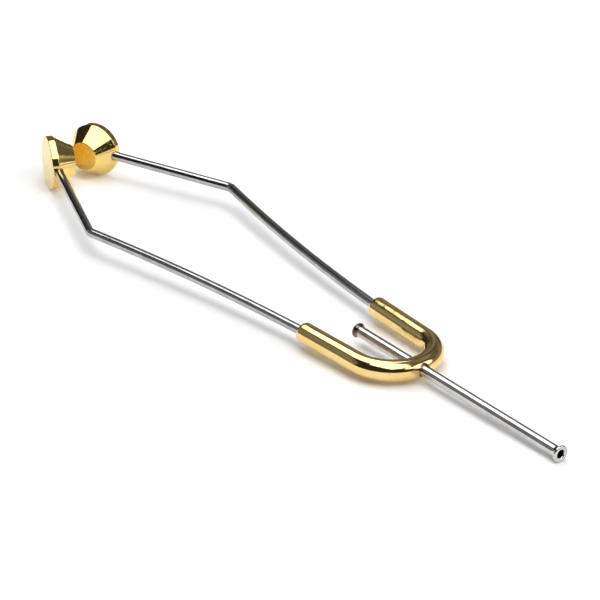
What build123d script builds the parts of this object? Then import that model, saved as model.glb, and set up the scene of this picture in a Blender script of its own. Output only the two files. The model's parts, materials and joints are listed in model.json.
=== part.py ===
# Bobbin holder for fly tying: a brass yoke carries a flared steel thread tube and two sprung wire legs,
# and a turned brass foot on each leg enters one end of a spool of thread.
# Millimetres. The object lies as it rests on a table, +Z up, on its two feet and the tip of the tube.
# +Y runs along the tube from the tip to the feet, and the object is alike on both sides of X = 0.

import os
from math import atan2, cos, degrees, radians, sin

from build123d import *

os.makedirs("parts", exist_ok=True)

# Yoke: a round rod bent to a U
yoke_rod_d = 3.2
yoke_bend_r = 6.25         # centre line of the bend
yoke_arm_len = 12.0        # straight arm from the bend to its mouth
yoke_arm_lean = 2.6        # degrees that each arm leans outwards
yoke_end_round = 0.72      # rounding of the rod's ends
socket_stop = 3.0          # solid length of arm between the bend and the bottom of a leg's socket

# Thread tube: straight through the middle of the bend
tube_d = 1.7
tube_bore_d = 1.2
tube_front_len = 30.4      # from the rod's centre line to the tip
tube_rear_len = 13.6       # from the rod's centre line to the rear end
tip_flare_proud = 0.42     # how far each flare stands out from the tube
rear_flare_proud = 0.28
tip_flare_len = 1.2
rear_flare_len = 0.8
tip_lip_round = 0.2        # rounding of each flare's lip
rear_lip_round = 0.13
tube_mouth_round = 0.25    # rounding of the bore's two mouths

# Solder round the tube, on the front and the rear of the rod
solder_rise = 0.22
solder_spread = 0.3

# Legs: spring wire, bowed outwards and turned in at a knee
wire_d = 1.45
wire_splay = 2.1           # degrees that the wire turns outwards as it leaves its arm
wire_bow = 7.7             # degrees of outward curve along the bowed run
wire_bow_run = 43.8        # from the mouth of the yoke to the knee
wire_knee_r = 2.2          # centre line of the knee
wire_toe_in = 22.0         # degrees that the end of the wire points inwards

# Feet: turned cones, with the wire let into the side
foot_d = 8.6
foot_len = 4.15
foot_rim = 1.05            # straight rim beside the wide face
foot_rim_round = 0.14
foot_nose_d = 4.8
foot_nose_round = 0.2
foot_hole_at = 1.1         # distance of the wire's hole from the wide face
foot_hole_past = 1.2       # how far that hole runs past the foot's axis
feet_gap = 0.25            # between the noses of the two feet, as if their edges were sharp

# Clearances
socket_clearance = 0.05    # round a leg wire in its socket
pivot_gap = 0.1            # between the fixed root of a leg and its free length
foot_hole_clearance = 0.02
tube_hole_clearance = 0.02

rod_r = yoke_rod_d / 2
tube_r = tube_d / 2
wire_r = wire_d / 2
socket_r = wire_r + socket_clearance
tube_hole_r = tube_r + tube_hole_clearance
sides = {"left": -1, "right": 1}


def heading(angle, side):
    # Direction in the plane of the frame, turned outwards from +Y
    return Vector(side * sin(radians(angle)), cos(radians(angle)), 0)


def arm_start(side):
    lean = radians(yoke_arm_lean)
    return Vector(side * yoke_bend_r * cos(lean), yoke_bend_r * (1 - sin(lean)), 0)


def arm_mouth(side):
    return arm_start(side) + heading(yoke_arm_lean, side) * yoke_arm_len


def round_bar(path, radius):
    section = Plane(origin=path @ 0, z_dir=path % 0) * Circle(radius)
    return sweep(section, path=path)


def bend_arc():
    return CenterArc((0, yoke_bend_r), yoke_bend_r, 180 + yoke_arm_lean, 180 - 2 * yoke_arm_lean)


def make_yoke():
    bend = bend_arc()
    left_arm = Line(arm_mouth(-1), bend @ 0)
    right_arm = Line(bend @ 1, arm_mouth(1))
    yoke = round_bar(Wire([left_arm, bend, right_arm]), rod_r)
    mouths = [arm_mouth(side) for side in sides.values()]
    ends = [
        edge
        for edge in yoke.edges().filter_by(GeomType.CIRCLE)
        if min((edge.arc_center - mouth).length for mouth in mouths) < rod_r / 100
    ]
    yoke = fillet(ends, yoke_end_round)
    for side in sides.values():
        yoke -= leg_bar(side, socket_r, 0, yoke_arm_len - socket_stop)
    return yoke - tube_bar(tube_hole_r, yoke_rod_d)


def leg_bar(side, radius, start, end):
    # A bar along a yoke arm, between two depths below its mouth
    inwards = heading(yoke_arm_lean, side) * -1
    place = Plane(origin=arm_mouth(side) + inwards * start, z_dir=inwards)
    return place * Cylinder(radius, end - start, align=(Align.CENTER, Align.CENTER, Align.MIN))


def tube_bar(radius, half_length):
    return Rot(90, 0, 0) * Cylinder(radius, 2 * half_length)


def flare(end_y, inwards, proud, length, lip):
    # Half section of one end of the tube, from the bore round the lip to the outside
    def at(radius, depth):
        return (radius, end_y + inwards * depth)

    bore_r = tube_bore_d / 2
    face_in = bore_r + tube_mouth_round
    face_out = tube_r + proud - lip
    corner = tube_mouth_round * (1 - cos(radians(45)))
    mouth = ThreePointArc(
        at(bore_r, tube_mouth_round), at(bore_r + corner, corner), at(face_in, 0)
    )
    face = Line(at(face_in, 0), at(face_out, 0))
    edge = ThreePointArc(at(face_out, 0), at(face_out + lip, lip), at(face_out, 2 * lip))
    neck = TangentArc(at(tube_r, length), at(face_out, 2 * lip), tangent=(0, -inwards))
    return [mouth, face, edge, neck]


def make_thread_tube():
    tip = flare(-tube_front_len, 1, tip_flare_proud, tip_flare_len, tip_lip_round)
    rear = flare(tube_rear_len, -1, rear_flare_proud, rear_flare_len, rear_lip_round)
    bore = Line(tip[0] @ 0, rear[0] @ 0)
    outside = Line(tip[-1] @ 0, rear[-1] @ 0)
    section = make_face(Wire([*tip, *rear, bore, outside]))
    return revolve(section, axis=Axis.Y)


def make_solder(yoke, facing):
    # A collar that hugs the rod where the tube comes out of it
    collar = round_bar(Wire([bend_arc()]), rod_r + solder_rise)
    reach = 2 * yoke_rod_d
    place = Plane(origin=(0, 0, 0), z_dir=(0, facing, 0))
    ring = place * Cylinder(tube_r + solder_spread, reach, align=(Align.CENTER, Align.CENTER, Align.MIN))
    return (collar & ring) - yoke - tube_bar(tube_hole_r, reach)


def leg_path(side):
    start = arm_mouth(side)
    leave = yoke_arm_lean + wire_splay
    bow_r = wire_bow_run / radians(wire_bow)
    bow = JernArc(start, heading(leave, side), bow_r, -side * wire_bow)
    knee = JernArc(bow @ 1, bow % 1, wire_knee_r, side * (leave + wire_bow + wire_toe_in))
    return bow, knee


def foot_centre(side):
    # On the straight end of the wire, where the two noses come as close as their gap
    knee_end = leg_path(side)[1] @ 1
    toe = radians(wire_toe_in)
    nose_reach = (foot_len - foot_hole_at) * cos(toe) + foot_nose_d / 2 * sin(toe)
    end_run = (abs(knee_end.X) - nose_reach - feet_gap / 2) / sin(toe)
    return knee_end + heading(-wire_toe_in, side) * end_run


def make_leg_wire(side):
    bow, knee = leg_path(side)
    tail = Line((bow @ 0) - (bow % 0) * wire_r, bow @ 0)
    end = Line(knee @ 1, foot_centre(side) + heading(-wire_toe_in, side) * foot_hole_past)
    wire = round_bar(Wire([tail, bow, knee, end]), wire_r)
    # The end in the mouth is rounded off, so that it stays in its socket as the leg is spread
    rings = wire.edges().filter_by(GeomType.CIRCLE)
    tail_ring = min(rings, key=lambda ring: (ring.arc_center - tail @ 0).length)
    return fillet(tail_ring, wire_r - socket_clearance)


def make_leg_root(side):
    return leg_bar(side, wire_r, wire_r + pivot_gap, yoke_arm_len - socket_stop)


def foot_plane(side):
    # Z runs from the wide face to the nose, and X the way that the wire enters
    along = heading(-wire_toe_in, side)
    inwards = heading(-90 - wire_toe_in, side)
    return Plane(origin=foot_centre(side) - inwards * foot_hole_at, x_dir=along, z_dir=inwards)


def make_foot(side):
    outline = Polyline(
        (0, 0),
        (foot_d / 2, 0),
        (foot_d / 2, foot_rim),
        (foot_nose_d / 2, foot_len),
        (0, foot_len),
        close=True,
    )
    foot = revolve(Plane.XZ * make_face(outline), axis=Axis.Z)
    rings = foot.edges().filter_by(GeomType.CIRCLE).sort_by(SortBy.RADIUS)
    foot = fillet(rings[-2:], foot_rim_round)
    nose = foot.edges().filter_by(GeomType.CIRCLE).sort_by(Axis.Z)[-1]
    foot = fillet(nose, foot_nose_round)
    hole = Pos(foot_hole_past, 0, foot_hole_at) * Rot(0, -90, 0) * Cylinder(
        wire_r + foot_hole_clearance,
        foot_d,
        align=(Align.CENTER, Align.CENTER, Align.MIN),
    )
    return foot_plane(side) * (foot - hole)


yoke = make_yoke()
nodes = {
    "yoke": yoke,
    "thread_tube": make_thread_tube(),
    "front_solder_fillet": make_solder(yoke, -1),
    "rear_solder_fillet": make_solder(yoke, 1),
}
for name, side in sides.items():
    nodes[f"{name}_leg_root"] = make_leg_root(side)
    nodes[f"{name}_leg_wire"] = make_leg_wire(side)
    nodes[f"{name}_foot"] = make_foot(side)

# The frame rests on the rims of the feet and the lip of the tip, so it leans up towards the feet
rim = foot_plane(1) * Pos(0, 0, foot_rim / 2)
tip_y = tip_lip_round - tube_front_len
rest_lean = degrees(atan2(foot_d / 2 - tube_r - tip_flare_proud, rim.position.Y - tip_y))
leaning = {name: Rot(rest_lean, 0, 0) * solid for name, solid in nodes.items()}
boxes = [solid.bounding_box() for solid in leaning.values()]
middle_y = (min(box.min.Y for box in boxes) + max(box.max.Y for box in boxes)) / 2
lowest_z = min(box.min.Z for box in boxes)
stand = Pos(0, -middle_y, -lowest_z)

for name, solid in leaning.items():
    export_step(stand * solid, f"parts/{name}.step")
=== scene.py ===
import json
from math import atan2, cos, pi, radians, sin, tan

import bmesh
import bpy
import numpy as np
from mathutils import Matrix, Vector


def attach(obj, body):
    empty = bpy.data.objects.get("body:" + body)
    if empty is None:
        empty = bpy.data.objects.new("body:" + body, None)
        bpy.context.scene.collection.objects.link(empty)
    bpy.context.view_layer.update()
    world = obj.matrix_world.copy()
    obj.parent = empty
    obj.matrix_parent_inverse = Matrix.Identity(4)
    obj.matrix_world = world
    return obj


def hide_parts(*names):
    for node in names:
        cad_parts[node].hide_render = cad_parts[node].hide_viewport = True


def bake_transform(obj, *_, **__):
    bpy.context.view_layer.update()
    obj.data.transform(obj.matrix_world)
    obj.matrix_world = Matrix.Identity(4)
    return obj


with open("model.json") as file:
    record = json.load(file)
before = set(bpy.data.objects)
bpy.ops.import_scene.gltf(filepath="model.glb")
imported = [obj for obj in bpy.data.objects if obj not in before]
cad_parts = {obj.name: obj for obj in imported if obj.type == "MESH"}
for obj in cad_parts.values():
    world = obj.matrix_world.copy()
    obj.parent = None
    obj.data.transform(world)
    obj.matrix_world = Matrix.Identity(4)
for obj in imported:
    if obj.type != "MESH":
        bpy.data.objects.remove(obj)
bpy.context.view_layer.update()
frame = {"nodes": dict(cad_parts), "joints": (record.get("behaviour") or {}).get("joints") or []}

mm = 0.001
mergeGap = 0.002  # mm, corners nearer than this are one
smoothAngles = {"bar": 40, "solder": 60, "drill": 30}  # degrees, sharper edges stay sharp
print("frame loaded,", len(frame["nodes"]), "nodes")


# Ring tools: every bar and turned piece starts as a circle that is pushed, turned and sized

def startRing(name, radius, sides, centre, axis):
    bpy.ops.object.select_all(action="DESELECT")  # the loaded nodes are still selected
    turn = Vector(axis).to_track_quat("Z", "Y").to_euler()
    bpy.ops.mesh.primitive_circle_add(vertices=sides, radius=radius, location=centre, rotation=turn)
    piece = bpy.context.object
    piece.name = piece.data.name = name
    bpy.ops.object.transform_apply(location=True, rotation=True, scale=True)
    bpy.ops.object.mode_set(mode="EDIT")
    bpy.ops.mesh.select_mode(type="EDGE")
    bpy.ops.mesh.select_all(action="SELECT")
    return piece


def pushRing(move, steps=1):
    for step in range(steps):
        bpy.ops.mesh.extrude_region_move(TRANSFORM_OT_translate={"value": Vector(move) / steps})


def sizeRing(factor, centre):
    bpy.ops.transform.resize(value=(factor, factor, factor), center_override=centre)


def turnRing(angle, centre, axis, steps):
    bpy.ops.mesh.spin(steps=steps, angle=-angle, center=centre, axis=axis)  # spin turns left-handed


def roundRing(width, steps):
    bpy.ops.mesh.bevel(offset=width * mm, segments=steps, affect="EDGES")


def selectEdges(piece, wanted):
    bpy.ops.mesh.select_all(action="DESELECT")  # caps that were just made are still selected
    mesh = bmesh.from_edit_mesh(piece.data)
    for edge in mesh.edges:
        if wanted(edge):
            edge.select_set(True)
    bmesh.update_edit_mesh(piece.data)


def closePiece(piece, smoothAngle):
    bpy.ops.mesh.select_all(action="SELECT")
    bpy.ops.mesh.remove_doubles(threshold=mergeGap * mm)
    bpy.ops.mesh.normals_make_consistent(inside=False)
    bpy.ops.object.mode_set(mode="OBJECT")
    bpy.ops.object.shade_smooth_by_angle(angle=radians(smoothAngle))


def latheRing(name, sides, axis, stations):  # stations are (distance along the axis, radius)
    along, radius = stations[0]
    piece = startRing(name, radius, sides, axis * along, axis)
    for nextAlong, nextRadius in stations[1:]:
        pushRing(axis * (nextAlong - along))
        if nextRadius != radius:
            sizeRing(nextRadius / radius, axis * nextAlong)
        along, radius = nextAlong, nextRadius
    return piece


def roundStations(centre, radius, fromAngle, toAngle, steps):  # an arc in a turned outline
    along, out = centre
    turns = [fromAngle + (toAngle - fromAngle) * step / steps for step in range(steps + 1)]
    return [(along + radius * sin(radians(a)), out + radius * cos(radians(a))) for a in turns]


def evenly(start, end, steps):  # the places between two ends
    return [start + (end - start) * step / steps for step in range(1, steps)]


def drill(piece, name, radius, sides, start, axis, depth):
    bit = startRing(name, radius, sides, start, axis)
    bpy.ops.mesh.edge_face_add()
    pushRing(axis * depth)
    closePiece(bit, smoothAngles["drill"])
    bpy.context.view_layer.objects.active = piece
    cut = piece.modifiers.new("drill", "BOOLEAN")
    cut.operation, cut.object, cut.solver = "DIFFERENCE", bit, "EXACT"
    bpy.ops.object.modifier_apply(modifier=cut.name)
    bpy.data.objects.remove(bit)


def keepCoords(piece, coords):  # straightened coordinates in mm, which the finishes follow
    mark = piece.data.attributes.new("barCoord", "FLOAT_VECTOR", "POINT")
    mark.data.foreach_set("vector", np.asarray(coords, np.float32).ravel())


def pointsOf(piece):
    points = np.zeros(len(piece.data.vertices) * 3, np.float32)
    piece.data.vertices.foreach_get("co", points)
    return points.reshape(-1, 3).astype(float) / mm


def followBar(piece, path, shift=0.0):  # path is the bar's centre line before it is laid down, in mm
    points, path = pointsOf(piece), np.asarray(path, float)
    legs = np.diff(path, axis=0)
    lengths = np.linalg.norm(legs, axis=1)
    upTo = np.concatenate([[0.0], np.cumsum(lengths)[:-1]])
    best = np.full(len(points), np.inf)
    coords = np.zeros((len(points), 3))
    for start, leg, length, before in zip(path[:-1], legs, lengths, upTo):
        ahead = leg / length
        offset = points[:, :2] - start
        run = np.clip(offset @ ahead, 0.0, length)
        gap = offset - run[:, None] * ahead
        away = np.hypot(gap[:, 0], gap[:, 1])
        nearer = away < best
        best[nearer] = away[nearer]
        sideways = gap @ np.array([ahead[1], -ahead[0]])
        coords[nearer] = np.stack([sideways, points[:, 2], before + run + shift], 1)[nearer]
    keepCoords(piece, coords)


def layDown(piece):  # from the flat drawing to the way the holder rests on its feet and tip
    bpy.ops.object.select_all(action="DESELECT")
    piece.select_set(True)
    bpy.context.view_layer.objects.active = piece
    piece.rotation_euler.x = restLean
    piece.location = restShift
    bpy.ops.object.transform_apply(location=True, rotation=True, scale=True)


# Yoke: a polished brass rod bent to a U, drilled in both ends for the legs and across for the tube

yokeRod = {
    "diameter": 3.2, "bendRadius": 6.25, "armLength": 12.0, "armLean": 2.6,
    "endRound": 0.72, "endRoundSteps": 10,
    "socketRadius": 0.775, "socketDepth": 9.0, "socketRound": 0.04, "socketRoundSteps": 3,
    "tubeHole": 0.87, "drillSides": 64, "drillReach": 3.0,
    "sides": 72, "bendSteps": 72, "armSteps": 12,
}
sides = {"left": -1, "right": 1}
upAxis = Vector((0, 0, 1))


def heading(angle, side):  # a direction in the plane of the frame, turned outwards from +Y
    return Vector((side * sin(radians(angle)), cos(radians(angle)), 0))


def armStart(side):
    lean, bend = radians(yokeRod["armLean"]), yokeRod["bendRadius"] * mm
    return Vector((side * bend * cos(lean), bend * (1 - sin(lean)), 0))


def armMouth(side):
    return armStart(side) + heading(yokeRod["armLean"], side) * yokeRod["armLength"] * mm


hinge = next(joint for joint in frame["joints"] if joint["name"] == "left_leg_flex")
restLean = atan2(-hinge["axis"][1], hinge["axis"][2])
restShift = Vector(hinge["pos_m"]) - Matrix.Rotation(restLean, 3, "X") @ armMouth(-1)


def drillSocket(side):
    radius, mouth = yokeRod["diameter"] / 2 * mm, armMouth(side)
    inwards = -heading(yokeRod["armLean"], side)
    pushRing((0, 0, 0))
    sizeRing(yokeRod["socketRadius"] * mm / radius, mouth)  # the flat end, in to the socket's edge
    pushRing(inwards * yokeRod["socketDepth"] * mm)
    bpy.ops.mesh.edge_face_add()


def ringAt(piece, centre, axis, radius):
    flatSlack, roundSlack = 0.01 * mm, 0.02 * mm

    def wanted(edge):
        return all(
            abs((corner.co - centre).dot(axis)) < flatSlack
            and abs((corner.co - centre).length - radius) < roundSlack
            for corner in edge.verts
        )

    selectEdges(piece, wanted)


def bendPath():  # twice as fine as the mesh
    bend, lean, steps = yokeRod["bendRadius"], yokeRod["armLean"], yokeRod["bendSteps"] * 2
    turns = [radians(180 + lean + (180 - 2 * lean) * step / steps) for step in range(steps + 1)]
    arc = [(bend * cos(a), bend + bend * sin(a)) for a in turns]
    return [tuple(armMouth(-1).xy / mm), *arc, tuple(armMouth(1).xy / mm)]


def makeYoke():
    radius, lean = yokeRod["diameter"] / 2 * mm, yokeRod["armLean"]
    left, right = heading(lean, -1), heading(lean, 1)
    arm = yokeRod["armLength"] * mm
    piece = startRing("yoke_rod", radius, yokeRod["sides"], armMouth(-1), -left)
    pushRing(-left * arm, yokeRod["armSteps"])
    bendCentre = (0, yokeRod["bendRadius"] * mm, 0)
    turnRing(radians(180 - 2 * lean), bendCentre, upAxis, yokeRod["bendSteps"])
    pushRing(right * arm, yokeRod["armSteps"])
    drillSocket(1)
    selectEdges(piece, lambda edge: edge.is_boundary)
    drillSocket(-1)
    for side in sides.values():
        axis = heading(lean, side)
        ringAt(piece, armMouth(side), axis, yokeRod["socketRadius"] * mm)
        roundRing(yokeRod["socketRound"], yokeRod["socketRoundSteps"])
        ringAt(piece, armMouth(side), axis, radius)
        roundRing(yokeRod["endRound"], yokeRod["endRoundSteps"])
    closePiece(piece, smoothAngles["bar"])
    along, reach = Vector((0, 1, 0)), yokeRod["drillReach"]
    hole, drillSides = yokeRod["tubeHole"] * mm, yokeRod["drillSides"]
    drill(piece, "tube_drill", hole, drillSides, -along * reach * mm, along, 2 * reach * mm)
    followBar(piece, bendPath())
    layDown(piece)
    return piece


yoke = makeYoke()
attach(yoke, "yoke_body")
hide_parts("yoke")
print("yoke bent and drilled,", len(yoke.data.polygons), "faces")


# Thread tube: drawn steel, belled and rolled at both ends so that it doesn't cut the thread

threadTube = {
    "diameter": 1.7, "bore": 1.2, "frontLength": 30.4, "rearLength": 13.6, "mouthRound": 0.25,
    "tip": {"proud": 0.42, "length": 1.2, "lip": 0.2},
    "rear": {"proud": 0.28, "length": 0.8, "lip": 0.13},
    "sides": 64, "runSteps": 24, "neckSteps": 12, "mouthTurn": 15, "lipTurn": 12,
}


def bellStations(end, inwards, proud, length, lip):  # from the bore round the lip to the outside
    outer, bore = threadTube["diameter"] / 2, threadTube["bore"] / 2
    mouth, neckSteps = threadTube["mouthRound"], threadTube["neckSteps"]
    faceOut = outer + proud - lip
    neckRise, neckRun = faceOut - outer, length - 2 * lip
    neckRadius = (neckRun ** 2 + neckRise ** 2) / (2 * neckRise)
    spread = atan2(neckRun, neckRadius - neckRise) / pi * 180
    outline = []
    for turn in range(0, 91, threadTube["mouthTurn"]):
        a = radians(turn)
        outline.append((mouth - mouth * sin(a), bore + mouth - mouth * cos(a)))
    outline.append((0, (faceOut + bore + mouth) / 2))
    for turn in range(0, 181, threadTube["lipTurn"]):
        a = radians(turn)
        outline.append((lip - lip * cos(a), faceOut + lip * sin(a)))
    for step in range(1, neckSteps + 1):
        a = radians(spread * (1 - step / neckSteps))
        outline.append((length - neckRadius * sin(a), outer + neckRadius - neckRadius * cos(a)))
    return [(end + inwards * depth, size) for depth, size in outline]


def makeTube():
    axis = Vector((0, 1, 0))
    tip = bellStations(-threadTube["frontLength"], 1, **threadTube["tip"])
    rear = bellStations(threadTube["rearLength"], -1, **threadTube["rear"])
    outer, inner, steps = threadTube["diameter"] / 2, threadTube["bore"] / 2, threadTube["runSteps"]
    run = [(along, outer) for along in evenly(tip[-1][0], rear[-1][0], steps)]
    bore = [(along, inner) for along in evenly(rear[0][0], tip[0][0], steps)]
    outline = [*tip, *run, *reversed(rear), *bore, tip[0]]
    stations = [(along * mm, radius * mm) for along, radius in outline]
    piece = latheRing("thread_tube_turned", threadTube["sides"], axis, stations)
    closePiece(piece, smoothAngles["bar"])
    keepCoords(piece, pointsOf(piece)[:, [0, 2, 1]])
    layDown(piece)
    return piece


tube = makeTube()
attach(tube, "yoke_body")
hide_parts("thread_tube")
print("thread tube turned,", len(tube.data.polygons), "faces")


# Solder: a thin ring that creeps up the rod on both sides of it, round the tube

solderRing = {"rise": 0.2, "spread": 0.3, "gap": 0.015, "sides": 64, "steps": 10}


def makeSolder(name, facing):
    rod, tubeRadius = yokeRod["diameter"] / 2, threadTube["diameter"] / 2
    inner, outer = tubeRadius + solderRing["gap"], tubeRadius + solderRing["spread"]
    axis = Vector((0, facing, 0))
    steps = solderRing["steps"]
    outline = [(0.0, inner)]
    for step in range(steps + 1):  # a hollow curve from high on the tube to thin on the rod
        a = pi / 2 * step / steps
        outline.append((solderRing["rise"] * (1 - sin(a)), inner + (outer - inner) * (1 - cos(a))))
    outline.append((0.0, inner))
    stations = [((rod + along) * mm, radius * mm) for along, radius in outline]
    piece = latheRing(name, solderRing["sides"], axis, stations)
    mesh = bmesh.from_edit_mesh(piece.data)
    bend = yokeRod["bendRadius"] * mm
    for corner in mesh.verts:  # the ring is let down on to the round of the rod
        across = bend - (bend ** 2 - corner.co.x ** 2) ** 0.5
        drop = rod * mm - max((rod * mm) ** 2 - corner.co.z ** 2, 0) ** 0.5
        corner.co.y += across - facing * drop
    bmesh.update_edit_mesh(piece.data)
    closePiece(piece, smoothAngles["solder"])
    keepCoords(piece, pointsOf(piece))
    layDown(piece)
    return piece


solders = {}
for name, facing in (("front", -1), ("rear", 1)):
    solders[name] = makeSolder(name + "_solder_ring", facing)
    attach(solders[name], "yoke_body")
    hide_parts(name + "_solder_fillet")
print("solder run round the tube")


# Legs: one length of spring wire each, from the bottom of its socket over the knee into its foot

springLeg = {
    "diameter": 1.45, "splay": 2.1, "bow": 7.7, "bowRun": 43.8, "kneeRadius": 2.2, "toeIn": 22.0,
    "rootLength": 8.9, "easeLength": 1.2, "holePast": 1.15, "endRound": 0.12, "endRoundSteps": 4,
    "sides": 40, "rootSteps": 6, "easeSteps": 6, "bowSteps": 72, "kneeSteps": 20, "endSteps": 16,
    "flexRun": 36.0,  # how far from the mouth the wire goes on bending when it is spread
    "bowPathSteps": 240, "kneePathSteps": 40, "pathPast": 2.0,
    "coordShift": 200.0,  # keeps the marks on the two legs unlike
}
coneFoot = {
    "diameter": 8.6, "length": 4.15, "rim": 1.05, "rimRound": 0.14,
    "noseDiameter": 4.8, "noseRound": 0.2,
    "holeAt": 1.1, "holeRadius": 0.745, "holePast": 1.2, "drillSides": 64, "feetGap": 0.25,
    "sides": 128, "rimSteps": 6, "shoulderSteps": 5, "noseSteps": 8, "coneCuts": 16,
    "edgeGap": 0.05, "coneEdge": 0.02,  # rings close to each edge keep the flats flat
    "faceRings": (0.3, 1.2, 2.4, 3.4), "noseRings": (1.2, 0.3),
}


def turningPoints(side):  # of a leg, before it is laid down
    leave, bow = yokeRod["armLean"] + springLeg["splay"], springLeg["bow"]
    kneeRadius = springLeg["kneeRadius"] * mm
    bowRadius = springLeg["bowRun"] * mm / radians(bow)
    mouth = armMouth(side)
    bowCentre = mouth + heading(leave + 90, side) * bowRadius
    bowEnd = bowCentre - heading(leave + bow + 90, side) * bowRadius
    kneeCentre = bowEnd + heading(leave + bow - 90, side) * kneeRadius
    kneeEnd = kneeCentre - heading(-springLeg["toeIn"] - 90, side) * kneeRadius
    return mouth, bowCentre, kneeCentre, kneeEnd


def footCentre(side):  # on the straight end of the wire, where the two noses come close
    kneeEnd = turningPoints(side)[-1]
    toe, nose = radians(springLeg["toeIn"]), coneFoot["noseDiameter"] / 2
    noseReach = (coneFoot["length"] - coneFoot["holeAt"]) * cos(toe) + nose * sin(toe)
    endRun = (abs(kneeEnd.x) - (noseReach + coneFoot["feetGap"] / 2) * mm) / sin(toe)
    return kneeEnd + heading(-springLeg["toeIn"], side) * endRun


def legPath(side):
    leave, bow, toe = yokeRod["armLean"] + springLeg["splay"], springLeg["bow"], springLeg["toeIn"]
    bowSteps, kneeSteps = springLeg["bowPathSteps"], springLeg["kneePathSteps"]
    mouth, bowCentre, kneeCentre = turningPoints(side)[:3]
    path = [mouth - heading(yokeRod["armLean"], side) * springLeg["rootLength"] * mm]
    bowRadius, kneeRadius = (mouth - bowCentre).length, springLeg["kneeRadius"] * mm
    for step in range(bowSteps + 1):
        turn = leave + bow * step / bowSteps
        path.append(bowCentre - heading(turn + 90, side) * bowRadius)
    for step in range(1, kneeSteps + 1):
        turn = leave + bow - (leave + bow + toe) * step / kneeSteps
        path.append(kneeCentre - heading(turn - 90, side) * kneeRadius)
    path.append(footCentre(side) + heading(-toe, side) * springLeg["pathPast"] * mm)
    return [tuple(point.xy / mm) for point in path]


def makeLeg(name, side):
    radius, lean = springLeg["diameter"] / 2 * mm, yokeRod["armLean"]
    splay, bow, toe = springLeg["splay"], springLeg["bow"], springLeg["toeIn"]
    mouth, bowCentre, kneeCentre, kneeEnd = turningPoints(side)
    arm, ease = heading(lean, side), springLeg["easeLength"] * mm
    root = mouth - arm * springLeg["rootLength"] * mm
    easeStart = mouth - arm * ease / 2  # the wire turns softly out of its socket
    easeCentre = easeStart + heading(lean + 90, side) * (ease / radians(splay))
    piece = startRing(name, radius, springLeg["sides"], root, arm)
    pushRing(easeStart - root, springLeg["rootSteps"])
    turnRing(-side * radians(splay), easeCentre, upAxis, springLeg["easeSteps"])
    bowPart = 1 - ease / 2 / (springLeg["bowRun"] * mm)
    turnRing(-side * radians(bow * bowPart), bowCentre, upAxis, springLeg["bowSteps"])
    turnRing(side * radians(lean + splay + bow + toe), kneeCentre, upAxis, springLeg["kneeSteps"])
    end = footCentre(side) + heading(-toe, side) * springLeg["holePast"] * mm
    pushRing(end - kneeEnd, springLeg["endSteps"])
    bpy.ops.mesh.edge_face_add()
    selectEdges(piece, lambda edge: edge.is_boundary)
    bpy.ops.mesh.edge_face_add()
    for place, axis in ((root, arm), (end, heading(-toe, side))):
        ringAt(piece, place, axis, radius)
        roundRing(springLeg["endRound"], springLeg["endRoundSteps"])
    closePiece(piece, smoothAngles["bar"])
    followBar(piece, legPath(side), shift=springLeg["coordShift"] * side)
    layDown(piece)
    return piece


def restPoint(point):
    return Matrix.Rotation(restLean, 3, "X") @ point + restShift


legs = {}
for name, side in sides.items():
    legs[name] = makeLeg(name + "_spring_leg", side)
    leave = heading(yokeRod["armLean"] + springLeg["splay"], side)
    flexStart = armMouth(side)
    flexEnd = flexStart + leave * springLeg["flexRun"] * mm
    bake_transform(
        legs[name], "yoke_body", name + "_leg_body",
        start=restPoint(flexStart), end=restPoint(flexEnd),
    )
    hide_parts(name + "_leg_root", name + "_leg_wire")
print("legs bent,", len(legs["left"].data.polygons), "faces each")


# Feet: brass cones turned on a lathe, with the wire let into the side near the wide face

def footStations():
    wide, nose, length = coneFoot["diameter"] / 2, coneFoot["noseDiameter"] / 2, coneFoot["length"]
    rim, rimRound, noseRound = coneFoot["rim"], coneFoot["rimRound"], coneFoot["noseRound"]
    edgeGap, coneEdge, coneCuts = coneFoot["edgeGap"], coneFoot["coneEdge"], coneFoot["coneCuts"]
    slope = atan2(wide - nose, length - rim)  # how far the cone leans off its axis
    slopeDegrees = slope / pi * 180
    roundOut = wide - rimRound
    outline = [(0.0, radius) for radius in (*coneFoot["faceRings"], roundOut - edgeGap)]
    outline += roundStations((rimRound, roundOut), rimRound, -90, 0, coneFoot["rimSteps"])
    half = rimRound * tan(slope / 2)
    outline += [(rimRound + edgeGap, wide), (rim / 2, wide), (rim - half - edgeGap, wide)]
    shoulder, shoulderSteps = (rim - half, roundOut), coneFoot["shoulderSteps"]
    outline += roundStations(shoulder, rimRound, 0, slopeDegrees, shoulderSteps)
    noseHalf = noseRound * tan((pi / 2 - slope) / 2)
    noseCentre = (length - noseRound, nose - noseHalf)
    coneEnd = roundStations(noseCentre, noseRound, slopeDegrees, 90, coneFoot["noseSteps"])
    (along, out), (endAlong, endOut) = outline[-1], coneEnd[0]
    cuts = [coneEdge, *[step / coneCuts for step in range(1, coneCuts)], 1 - coneEdge]
    outline += [(along + (endAlong - along) * cut, out + (endOut - out) * cut) for cut in cuts]
    outline += coneEnd
    outline += [(length, radius) for radius in (noseCentre[1] - edgeGap, *coneFoot["noseRings"])]
    return [(along * mm, radius * mm) for along, radius in outline]


def makeFoot(name):
    piece = latheRing(name, coneFoot["sides"], upAxis, footStations())
    bpy.ops.mesh.edge_face_add()
    selectEdges(piece, lambda edge: edge.is_boundary)
    bpy.ops.mesh.edge_face_add()
    closePiece(piece, smoothAngles["bar"])
    outwards, depth = Vector((-1, 0, 0)), coneFoot["diameter"] * mm
    bottom = Vector((coneFoot["holePast"], 0, coneFoot["holeAt"])) * mm
    hole, drillSides = coneFoot["holeRadius"] * mm, coneFoot["drillSides"]
    drill(piece, "wire_drill", hole, drillSides, bottom, outwards, depth)
    keepCoords(piece, pointsOf(piece))
    return piece


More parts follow.
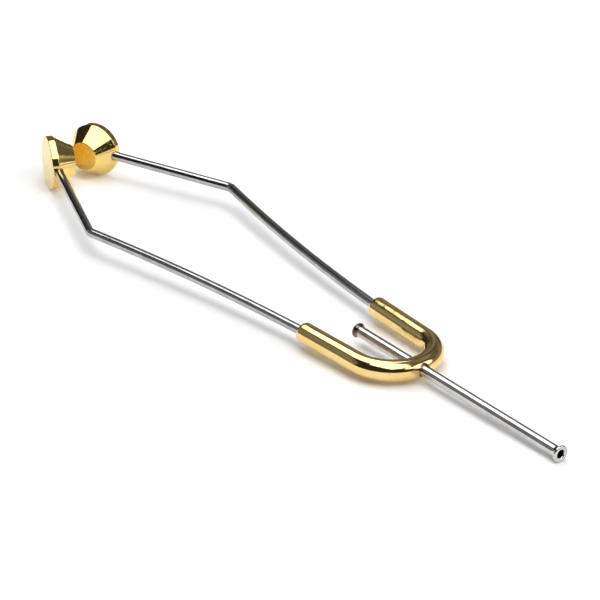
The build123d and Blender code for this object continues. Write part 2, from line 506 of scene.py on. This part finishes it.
def setFoot(piece, side):
    along, inwards = heading(-springLeg["toeIn"], side), heading(-90 - springLeg["toeIn"], side)
    place = Matrix((along, inwards.cross(along), inwards)).transposed().to_4x4()
    place.translation = footCentre(side) - inwards * coneFoot["holeAt"] * mm
    bpy.ops.object.select_all(action="DESELECT")
    piece.select_set(True)
    bpy.context.view_layer.objects.active = piece
    piece.matrix_world = place
    bpy.ops.object.transform_apply(location=True, rotation=True, scale=True)
    layDown(piece)


feet = {"left": makeFoot("left_cone_foot")}
bpy.ops.object.select_all(action="DESELECT")
feet["left"].select_set(True)
bpy.ops.object.duplicate()
feet["right"] = bpy.context.object
feet["right"].name = feet["right"].data.name = "right_cone_foot"
for name, side in sides.items():
    setFoot(feet[name], side)
    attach(feet[name], name + "_leg_body")
    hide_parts(name + "_foot")
print("feet turned and set,", len(feet["left"].data.polygons), "faces each")


# Finishes

class Signal:  # wraps an output socket, so that shader maths reads as an expression
    def __init__(self, finish, socket):
        self.finish, self.socket = finish, socket

    def sums(self, operation, first, second):
        return self.finish.add("ShaderNodeMath", {"operation": operation}, {0: first, 1: second})

    def __add__(self, other): return self.sums("ADD", self, other)
    def __radd__(self, other): return self.sums("ADD", other, self)
    def __sub__(self, other): return self.sums("SUBTRACT", self, other)
    def __rsub__(self, other): return self.sums("SUBTRACT", other, self)
    def __mul__(self, other): return self.sums("MULTIPLY", self, other)
    def __rmul__(self, other): return self.sums("MULTIPLY", other, self)

    def most(self, other): return self.sums("MAXIMUM", self, other)

    def over(self, low, high):  # 0 below low, 1 above high, smooth between
        settings = {"interpolation_type": "SMOOTHSTEP"}
        sockets = {0: self, 1: low, 2: high, 3: 0.0, 4: 1.0}
        return self.finish.add("ShaderNodeMapRange", settings, sockets)


class Finish:  # the nodes of one material, or of the world
    def __init__(self, owner):
        owner.use_nodes = True
        self.tree = owner.node_tree
        self.tree.nodes.clear()

    def add(self, kind, settings=None, sockets=None, out=0):
        node = self.tree.nodes.new(kind)
        for name, value in (settings or {}).items():
            setattr(node, name, value)
        for name, value in (sockets or {}).items():
            if isinstance(value, Signal):
                self.tree.links.new(value.socket, node.inputs[name])
            else:
                node.inputs[name].default_value = value
        return Signal(self, node.outputs[out]) if node.outputs else None

    def mixColours(self, factor, first, second):
        settings = {"data_type": "RGBA"}
        return self.add("ShaderNodeMix", settings, {0: factor, 6: first, 7: second}, out=2)

    def noise(self, where, scale, detail, rough):
        sockets = {"Vector": where, "Scale": scale, "Detail": detail, "Roughness": rough}
        return self.add("ShaderNodeTexNoise", {}, sockets)

    def vectorSum(self, operation, first, second):  # for sums of two vectors that give a number
        settings = {"operation": operation}
        return self.add("ShaderNodeVectorMath", settings, {0: first, 1: second}, out=1)

    def along(self, where, axis):
        return self.vectorSum("DOT_PRODUCT", where, axis)

    def stretch(self, where, scale):
        return self.add("ShaderNodeMapping", {}, {"Vector": where, "Scale": scale})


metalGrain = {  # detail and roughness of each noise, and where clouds and specks begin and are full
    "clouds": (3.0, 0.55), "lines": (4.0, 0.7), "specks": (2.0, 0.5), "waves": (1.0, 0.4),
    "cloudEdge": (0.35, 0.65), "speckEdge": (0.66, 0.74), "speckRough": 0.12,
}


def metalFinish(name, look):  # the darker end and "satin" begin and are full that many mm along the bar
    material = bpy.data.materials.new(name)
    finish = Finish(material)
    bar = finish.add("ShaderNodeAttribute", {"attribute_name": "barCoord"}, out=1)
    clouds = finish.noise(bar, look["cloudScale"], *metalGrain["clouds"])
    clouds = clouds.over(*metalGrain["cloudEdge"])
    lines = finish.noise(finish.stretch(bar, look["lineStretch"]), 1.0, *metalGrain["lines"])
    specks = finish.noise(bar, look["speckScale"], *metalGrain["specks"])
    specks = specks.over(*metalGrain["speckEdge"])
    waves = finish.noise(bar, look["waveScale"], *metalGrain["waves"])
    colour = finish.mixColours(clouds, look["bright"], look["deep"])
    colour = finish.mixColours(specks * look["speckDark"], colour, look["speck"])
    roughness = look["roughness"] + clouds * look["cloudRough"]
    roughness = roughness + (lines - 0.5) * look["lineRough"] + specks * metalGrain["speckRough"]
    run = finish.along(bar, (0, 0, 1))
    # the colour darkens towards the high end of the run along the bar, which on the tube is its rear
    # end
    if "darkEnd" in look:
        endDarkening = (run + (waves - 0.5) * look["darkEndWander"]).over(*look["darkEnd"])
        colour = finish.mixColours(endDarkening * look["darkEndDepth"], colour, look["speck"])
    if "satin" in look:
        roughness = roughness + run.over(*look["satin"]) * look["satinRough"]
    height = waves * look["waveHeight"] + lines * look["lineHeight"] - specks * look["speckHeight"]
    bump = finish.add("ShaderNodeBump", {}, {"Height": height, "Distance": mm, "Strength": 1.0})
    shader = finish.add("ShaderNodeBsdfPrincipled", {}, {
        "Base Color": colour, "Metallic": 1.0, "Roughness": roughness, "Normal": bump,
    })
    finish.add("ShaderNodeOutputMaterial", {}, {"Surface": shader})
    return material


yokeBrass = metalFinish("polished_brass_rod", {
    "bright": (0.90, 0.68, 0.29, 1), "deep": (0.86, 0.61, 0.23, 1), "speck": (0.42, 0.27, 0.09, 1),
    "cloudScale": 0.45, "lineStretch": (14, 14, 0.5), "speckScale": 2.6, "waveScale": 0.55,
    "speckDark": 0.5, "roughness": 0.09, "cloudRough": 0.04, "lineRough": 0.08,
    "waveHeight": 0.016, "lineHeight": 0.0006, "speckHeight": 0.002,
})
footBrass = metalFinish("turned_brass_foot", {
    "bright": (0.91, 0.68, 0.25, 1), "deep": (0.88, 0.63, 0.20, 1), "speck": (0.45, 0.28, 0.08, 1),
    "cloudScale": 0.4, "lineStretch": (0.6, 0.6, 12), "speckScale": 2.8, "waveScale": 0.5,
    "speckDark": 0.4, "roughness": 0.08, "cloudRough": 0.03, "lineRough": 0.06,
    "waveHeight": 0.006, "lineHeight": 0.0006, "speckHeight": 0.0015,
    "satin": (4.0, 4.13), "satinRough": 0.15,
})
tubeSteel = metalFinish("drawn_steel_tube", {
    "bright": (0.64, 0.625, 0.615, 1), "deep": (0.54, 0.525, 0.515, 1),
    "speck": (0.10, 0.085, 0.08, 1),
    "cloudScale": 0.5, "lineStretch": (16, 16, 0.4), "speckScale": 3.0, "waveScale": 0.6,
    "speckDark": 0.5, "roughness": 0.09, "cloudRough": 0.04, "lineRough": 0.08,
    "waveHeight": 0.01, "lineHeight": 0.0006, "speckHeight": 0.002,
    # the rear end of the tube is dark in colour, fading in from 12.5 mm along it
    "darkEnd": (12.5, 13.0), "darkEndWander": 0.5, "darkEndDepth": 0.9,
})
legSteel = metalFinish("drawn_spring_wire", {
    "bright": (0.49, 0.485, 0.485, 1), "deep": (0.39, 0.385, 0.39, 1),
    "speck": (0.15, 0.15, 0.15, 1),
    "cloudScale": 0.4, "lineStretch": (18, 18, 0.35), "speckScale": 3.0, "waveScale": 0.5,
    "speckDark": 0.5, "roughness": 0.11, "cloudRough": 0.05, "lineRough": 0.10,
    "waveHeight": 0.01, "lineHeight": 0.0008, "speckHeight": 0.002,
})
# the dark brown on both solder rings is partly the joint's dark flux and partly painted shade of the
# tube where it leaves the yoke
solderAndShadeFinish = metalFinish("run_solder_and_painted_shade", {
    "bright": (0.34, 0.25, 0.15, 1), "deep": (0.13, 0.085, 0.055, 1),
    "speck": (0.06, 0.04, 0.03, 1),
    "cloudScale": 2.0, "lineStretch": (6, 6, 6), "speckScale": 5.0, "waveScale": 2.5,
    "speckDark": 0.7, "roughness": 0.22, "cloudRough": 0.10, "lineRough": 0.15,
    "waveHeight": 0.02, "lineHeight": 0.004, "speckHeight": 0.006,
})


def dress(piece, material):
    piece.data.materials.clear()
    piece.data.materials.append(material)


dress(yoke, yokeBrass)
dress(tube, tubeSteel)
for name in sides:
    dress(legs[name], legSteel)
    dress(feet[name], footBrass)
for ring in solders.values():
    dress(ring, solderAndShadeFinish)
print("finishes set")


# Stage: a white table under a large soft light in a darker room

stageSet = {
    "floorSize": 24.0, "floorSides": 96, "floorColour": (0.98, 0.98, 0.98, 1), "floorGlow": 0.05,
    "farGlow": 0.76, "farFrom": 0.0, "farTo": 0.45, "litMiddle": (-0.02, -0.02, 0),  # in metres
}
bpy.ops.object.select_all(action="DESELECT")
bpy.ops.mesh.primitive_circle_add(
    vertices=stageSet["floorSides"], radius=stageSet["floorSize"] / 2, fill_type="NGON",
)
floor = bpy.context.object
floor.name = floor.data.name = "floor"
floorPaper = bpy.data.materials.new("white_table")
paper = Finish(floorPaper)
diffuse = paper.add("ShaderNodeBsdfDiffuse", {}, {"Color": stageSet["floorColour"]})
rays = paper.add("ShaderNodeLightPath")
camera = Signal(paper, rays.socket.node.outputs["Is Camera Ray"])
glossy = Signal(paper, rays.socket.node.outputs["Is Glossy Ray"])
through = Signal(paper, rays.socket.node.outputs["Is Transmission Ray"])
place = paper.add("ShaderNodeTexCoord", out=3)
reach = paper.vectorSum("DISTANCE", place, stageSet["litMiddle"])
# the lamps don't light the table far out, so there it is pale by itself
farPaper = reach.over(stageSet["farFrom"], stageSet["farTo"]) * stageSet["farGlow"]
seen = camera + glossy + through
glow = paper.add("ShaderNodeEmission", {}, {"Strength": seen * (farPaper + stageSet["floorGlow"])})
paperAndGlow = paper.add("ShaderNodeAddShader", {}, {0: diffuse, 1: glow})
paper.add("ShaderNodeOutputMaterial", {}, {"Surface": paperAndGlow})
dress(floor, floorPaper)

lampGlow = 2.7  # how bright the face of each lamp is
softBoxHeight = 252  # mm over the table
softBoxes = {  # lowest and highest x and y in mm; together one stepped light over the table
    "box_far": ((-100, 0), (15, 215)), "box_near": ((-160, -264), (15, 0)),
    "box_far_right": ((15, 72), (150, 215)), "box_right": ((15, -264), (60, 72)),
}
# a small light before the yoke, in mm and degrees
frontCard = {"size": (26, 18), "place": (7, -110, 61), "turn": (54, 0, -3)}


def hangLamp(name, size, place, turn=(0, 0, 0)):
    lamp = bpy.data.lights.new(name, "AREA")
    lamp.shape = "RECTANGLE"
    lamp.size, lamp.size_y = [side * mm for side in size]
    lamp.energy = pi * lamp.size * lamp.size_y * lampGlow
    lampObject = bpy.data.objects.new(name, lamp)
    lampObject.location = Vector(place) * mm
    lampObject.rotation_euler = [radians(angle) for angle in turn]
    bpy.context.scene.collection.objects.link(lampObject)


for name, (low, high) in softBoxes.items():
    size = [most - least for least, most in zip(low, high)]
    middle = [(least + most) / 2 for least, most in zip(low, high)]
    hangLamp(name, size, (*middle, softBoxHeight))
hangLamp("front_card", **frontCard)

studioSky = {  # how bright the room is, by direction; each zone fades in towards its axis
    "shade": 0.025, "haze": 1.0,
    "clutterScale": 3.2, "clutterGrain": (3.0, 0.55), "clutterEdge": (0.35, 0.65),
    "clutterLow": 0.4, "clutterHigh": 1.6,
    "window": {"axis": (0.480, -0.741, 0.470), "from": 0.945, "to": 0.975, "level": 2.7},
    "rightWindow": {"axis": (0.655, -0.604, 0.454), "from": 0.957, "to": 0.977, "level": 2.7},
    "sideWall": {"axis": (-0.628, 0.699, 0.342), "from": 0.88, "to": 0.975, "level": 0.20},
    "farWall": {"axis": (0.801, 0.169, 0.574), "from": 0.35, "to": 0.80, "level": 0.15},
    "farEdge": {"axis": (0.031, 0.039, 1.0), "from": 0.02, "to": 0.05},
}
world = bpy.data.worlds.new("studio")
bpy.context.scene.world = world
sky = Finish(world)
ray = sky.add("ShaderNodeTexCoord")


def zone(name):
    side = studioSky[name]
    return sky.along(ray, side["axis"]).over(side["from"], side["to"])


room = studioSky["shade"]
# a room is never evenly dark
clutter = sky.noise(ray, studioSky["clutterScale"], *studioSky["clutterGrain"])
clutter = clutter.over(*studioSky["clutterEdge"])
clutter = clutter * (studioSky["clutterHigh"] - studioSky["clutterLow"]) + studioSky["clutterLow"]
for name in ("sideWall", "farWall"):
    room = zone(name) * studioSky[name]["level"] * clutter + room
for name in ("window", "rightWindow"):
    room = (zone(name) * studioSky[name]["level"]).most(room)
clear = zone("farEdge")
room = room * clear + (1 - clear) * studioSky["haze"]  # the pale far edge of the table
background = sky.add("ShaderNodeBackground", {}, {"Color": (1, 1, 1, 1), "Strength": room})
sky.add("ShaderNodeOutputWorld", {}, {"Surface": background})

cameraView = {
    "place": (-0.27762, -0.35524, 0.22666), "turn": (63.394, -0.294, -38.066),
    "lens": 203.98, "sensor": 36.0, "near": 0.01, "far": 100.0,
}
eye = bpy.data.cameras.new("eye")
eye.lens, eye.sensor_width = cameraView["lens"], cameraView["sensor"]
eye.clip_start, eye.clip_end = cameraView["near"], cameraView["far"]
eyeObject = bpy.data.objects.new("eye", eye)
eyeObject.location = cameraView["place"]
eyeObject.rotation_euler = [radians(angle) for angle in cameraView["turn"]]
bpy.context.scene.collection.objects.link(eyeObject)
bpy.context.scene.camera = eyeObject
bpy.context.scene.view_settings.view_transform = "Standard"
print("stage, light and camera set")
